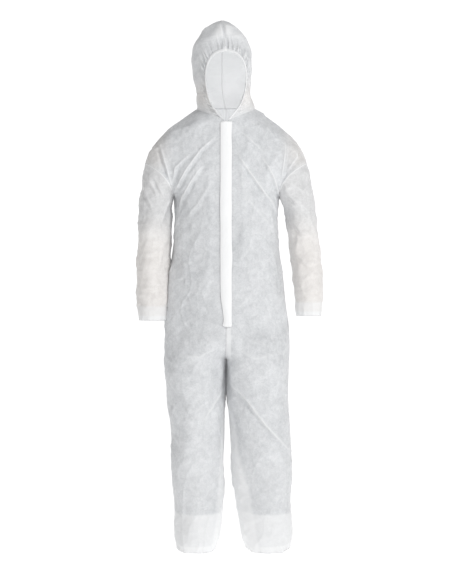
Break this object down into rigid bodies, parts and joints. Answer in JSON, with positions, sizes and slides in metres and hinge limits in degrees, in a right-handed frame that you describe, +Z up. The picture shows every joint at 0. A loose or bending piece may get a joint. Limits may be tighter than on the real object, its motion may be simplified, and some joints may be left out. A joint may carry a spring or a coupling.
{
  "type": "hooded disposable protective coverall",
  "caption": "White hooded one-piece nonwoven coverall with front zip under a storm flap, long sleeves, full legs and elastic at hood, waist, wrists and ankles.",
  "frame": {"origin": "middle of the neck seam, where the wearer's shoulders hold the suit", "axes": "+Z up along the standing body, the suit faces -Y, +X towards the wearer's left"},
  "size_m": [0.6328, 0.2825, 1.822],
  "materials": {
    "nonwoven": "matt spunbonded nonwoven, slightly see-through",
    "flap_nonwoven": "two layers of the same nonwoven, opaque",
    "overlock_thread": "spun polyester thread",
    "elastic": "narrow covered elastic",
    "zip_tape": "woven polyester tape",
    "zip_nylon": "moulded nylon"
  },
  "bodies": {
    "suit_body": {"front_panel_left": "nonwoven", "front_panel_right": "nonwoven", "back_panel_left": "nonwoven", "back_panel_right": "nonwoven", "side_seam_overlock_left": "overlock_thread", "side_seam_overlock_right": "overlock_thread", "inseam_overlock_left": "overlock_thread", "inseam_overlock_right": "overlock_thread", "armhole_overlock_left": "overlock_thread", "armhole_overlock_right": "overlock_thread", "shoulder_seam_overlock_left": "overlock_thread", "shoulder_seam_overlock_right": "overlock_thread", "ankle_elastic_left": "elastic", "ankle_elastic_right": "elastic", "zip_tape_left": "zip_tape", "zip_tape_right": "zip_tape", "zip_coil_left": "zip_nylon", "zip_coil_right": "zip_nylon", "zip_top_stop_left": "zip_nylon", "zip_top_stop_right": "zip_nylon", "centre_back_overlock": "overlock_thread", "neck_seam_overlock": "overlock_thread", "waist_elastic": "elastic", "zip_bottom_stop": "zip_nylon"},
    "hood": {"hood_panel_left": "nonwoven", "hood_panel_right": "nonwoven", "hood_centre_overlock": "overlock_thread", "face_elastic": "elastic"},
    "left_sleeve": {"sleeve_left": "nonwoven", "wrist_elastic_left": "elastic", "sleeve_seam_overlock_left": "overlock_thread"},
    "right_sleeve": {"sleeve_right": "nonwoven", "wrist_elastic_right": "elastic", "sleeve_seam_overlock_right": "overlock_thread"},
    "storm_flap": {"storm_flap": "flap_nonwoven"},
    "zip_slider": {"zip_slider": "zip_nylon"},
    "pull_tab": {"zip_pull_tab": "zip_nylon"}
  },
  "joints": [
    {"name": "hood_fold", "type": "hinge", "parent": "suit_body", "child": "hood", "pos_m": [0, 0.085, 0.03], "axis": [-1, 0, 0], "range_deg": [0, 110]},
    {"name": "left_sleeve_swing", "type": "hinge", "parent": "suit_body", "child": "left_sleeve", "pos_m": [0.279, 0, -0.175], "axis": [0, -1, 0], "range_deg": [0, 90]},
    {"name": "right_sleeve_swing", "type": "hinge", "parent": "suit_body", "child": "right_sleeve", "pos_m": [-0.279, 0, -0.175], "axis": [0, 1, 0], "range_deg": [0, 90]},
    {"name": "flap_open", "type": "hinge", "parent": "suit_body", "child": "storm_flap", "pos_m": [0.0195, -0.09698, -0.05098], "axis": [0, 0.0626, 0.998], "range_deg": [0, 110]},
    {"name": "slider_travel", "type": "slide", "parent": "suit_body", "child": "zip_slider", "axis": [0, -0.0626, -0.998], "range_m": [0, 0.6529]},
    {"name": "tab_swing", "type": "hinge", "parent": "zip_slider", "child": "pull_tab", "pos_m": [0, -0.09903, -0.0629], "axis": [-1, 0, 0], "range_deg": [0, 84]}
  ],
  "couplings": [
    {"joint": "tab_swing", "follows": "flap_open", "ratio": 0.75}
  ]
}
